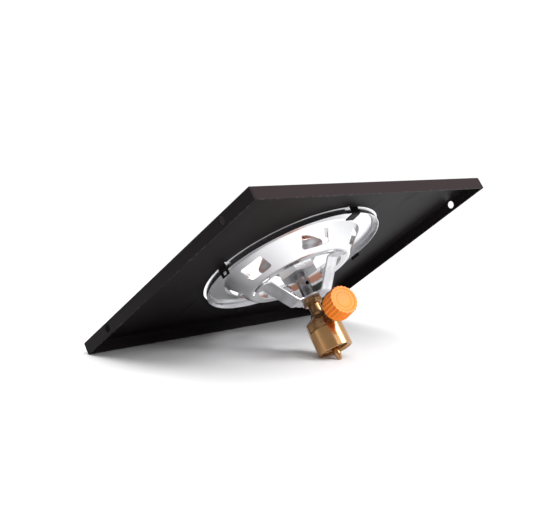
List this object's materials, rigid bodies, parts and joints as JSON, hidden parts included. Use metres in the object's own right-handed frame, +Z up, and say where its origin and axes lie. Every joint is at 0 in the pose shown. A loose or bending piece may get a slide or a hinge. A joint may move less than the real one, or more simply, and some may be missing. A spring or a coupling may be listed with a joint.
{
  "type": "canister stove",
  "caption": "Single-burner gas canister stove: chromed wind bowl on an arm bracket over a brass valve, lifted out of a folded steel tray plate.",
  "frame": {"origin": "centre of the plate's round hole, at the plate's top face", "axes": "+X along the plate's long side, +Z up, away from the canister"},
  "size_m": [0.3, 0.25, 0.1268],
  "materials": {
    "black_coat": "semi-matt black powder coat with a fine orange-peel texture",
    "chrome_bowl": "bright chromed pressed steel with faint drawing lines",
    "plated_steel": "satin zinc-plated steel",
    "burner_steel": "dark grey satin steel",
    "heat_tinted": "copper-brown heat-tinted metal",
    "support_steel": "nickel-plated pressed steel",
    "dull_brass": "turned brass, slightly tarnished",
    "bright_brass": "bright turned brass",
    "filter_bronze": "sintered bronze",
    "seal_rubber": "black nitrile rubber",
    "orange_plastic": "orange moulded plastic, satin gloss"
  },
  "bodies": {
    "plate": {"top_plate": "black_coat"},
    "stove": {"wind_bowl": "chrome_bowl", "arm_bracket": "plated_steel", "mixing_tube": "plated_steel", "hub_washer": "plated_steel", "lock_nut": "dull_brass", "burner_cup": "burner_steel", "burner_crown": "heat_tinted", "burner_cap": "heat_tinted", "cap_screw": "plated_steel", "pot_support_1": "support_steel", "pot_support_2": "support_steel", "pot_support_3": "support_steel", "gas_jet": "bright_brass", "valve_body": "dull_brass", "canister_cup": "bright_brass", "cup_gasket": "seal_rubber", "inlet_stem": "bright_brass", "stem_seal": "seal_rubber", "gas_filter": "filter_bronze", "gland_nut": "bright_brass"},
    "seal": {"spindle_seal": "seal_rubber"},
    "knob": {"valve_spindle": "bright_brass", "knob": "orange_plastic"}
  },
  "joints": [
    {"name": "stove_lift", "type": "slide", "parent": "plate", "child": "stove", "axis": [0, 0, 1], "range_m": [0, 0.13]},
    {"name": "spindle_travel", "type": "slide", "parent": "stove", "child": "seal", "axis": [-0.2419, -0.9703, 0], "range_m": [0, 0.00113]},
    {"name": "knob_turn", "type": "hinge", "parent": "seal", "child": "knob", "pos_m": [0, 0, -0.066], "axis": [-0.2419, -0.9703, 0], "range_deg": [0, 540]}
  ],
  "couplings": [
    {"joint": "spindle_travel", "follows": "knob_turn", "m_per_rad": 0.00011937}
  ]
}
